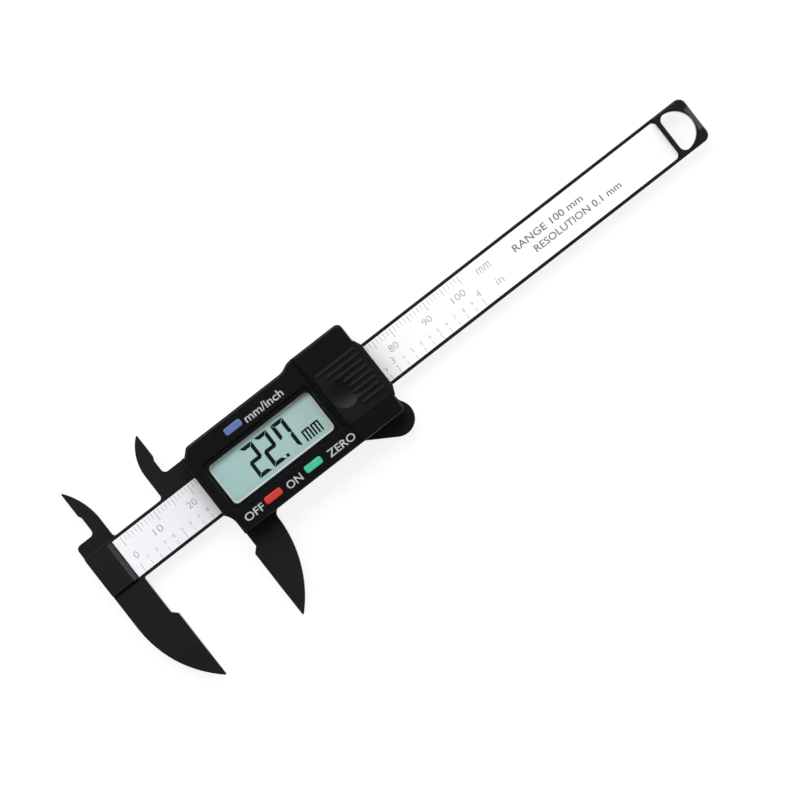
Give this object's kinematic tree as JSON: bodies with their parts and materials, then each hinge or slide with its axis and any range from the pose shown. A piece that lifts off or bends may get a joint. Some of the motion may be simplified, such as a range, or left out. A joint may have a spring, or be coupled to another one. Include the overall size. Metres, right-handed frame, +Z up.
{
  "type": "digital caliper",
  "caption": "Pocket digital caliper with outside and inside jaws, a sliding display unit with keys and a ribbed battery cover, and a printed scale on its beam.",
  "frame": {"origin": "middle of the whole caliper's footprint, on the plane that the slider's back lies on, with the jaws open as stored", "axes": "+X along the beam from the fixed jaws to the hanging loop, +Y across it towards the inside-measuring jaws, +Z up out of the display"},
  "size_m": [0.1774, 0.0572, 0.0127],
  "materials": {
    "body_plastic": "satin moulded plastic with a fine grain",
    "label_film": "silvery white printed film",
    "strip_laminate": "glass-epoxy laminate",
    "copper": "bare copper with a thin lacquer",
    "window_clear": "clear polished acrylic",
    "mask_grey": "pale grey printed border",
    "display_glass": "polished glass with a green-grey tint",
    "reflector_film": "brushed reflecting film",
    "silicone": "matt silicone",
    "contact_rubber": "pink layered rubber",
    "board_laminate": "glass-epoxy laminate with green lacquer",
    "resin_black": "poured black resin",
    "capacitor_ceramic": "fired ceramic",
    "crystal_can": "drawn nickel silver",
    "key_blue": "satin coloured plastic",
    "key_red": "satin coloured plastic",
    "key_green": "satin coloured plastic",
    "cell_steel": "nickel-plated steel",
    "spring_steel": "rolled stainless strip",
    "screw_steel": "black oxide",
    "label_ink": "grey screen-printed ink",
    "legend_ink": "pale grey screen-printed ink",
    "display_ink": "dark segments of the display"
  },
  "bodies": {
    "beam": {"beam": "body_plastic", "scale_circuit_strip": "strip_laminate", "stator_electrodes": "copper", "scale_label": "label_film"},
    "slider": {"slider_frame": "body_plastic", "front_cover": "body_plastic", "display_window": "window_clear", "display_mask": "mask_grey", "lcd_front_glass": "display_glass", "lcd_rear_glass": "display_glass", "lcd_reflector": "reflector_film", "contact_strip_upper": "contact_rubber", "contact_strip_lower": "contact_rubber", "circuit_board": "board_laminate", "reader_electrodes": "copper", "chip_cap": "resin_black", "board_capacitors": "capacitor_ceramic", "quartz_crystal": "crystal_can", "key_dome_mm_inch": "silicone", "key_dome_off": "silicone", "key_dome_on_zero": "silicone", "coin_cell": "cell_steel", "battery_contact_negative": "spring_steel", "battery_contact_positive": "spring_steel", "pressure_spring": "spring_steel", "case_screws": "screw_steel", "board_screws": "screw_steel"},
    "battery_door": {"battery_door": "body_plastic"},
    "key_mm_inch": {"key_mm_inch": "key_blue"},
    "key_off": {"key_off": "key_red"},
    "key_on_zero": {"key_on_zero": "key_green"}
  },
  "joints": [
    {"name": "slider_slide", "type": "slide", "parent": "beam", "child": "slider", "axis": [1, 0, 0], "range_m": [-0.0227, 0.087]},
    {"name": "battery_door_slide", "type": "slide", "parent": "slider", "child": "battery_door", "axis": [1, 0, 0], "range_m": [0, 0.0145]},
    {"name": "key_mm_inch_press", "type": "slide", "parent": "slider", "child": "key_mm_inch", "axis": [0, 0, -1], "range_m": [0, 0.0004], "stiffness_N_per_m": 500, "springref_m": -0.0006, "deforming": ["key_dome_mm_inch"]},
    {"name": "key_off_press", "type": "slide", "parent": "slider", "child": "key_off", "axis": [0, 0, -1], "range_m": [0, 0.0004], "stiffness_N_per_m": 500, "springref_m": -0.0006, "deforming": ["key_dome_off"]},
    {"name": "key_on_zero_press", "type": "slide", "parent": "slider", "child": "key_on_zero", "axis": [0, 0, -1], "range_m": [0, 0.0004], "stiffness_N_per_m": 500, "springref_m": -0.0006, "deforming": ["key_dome_on_zero"]}
  ]
}
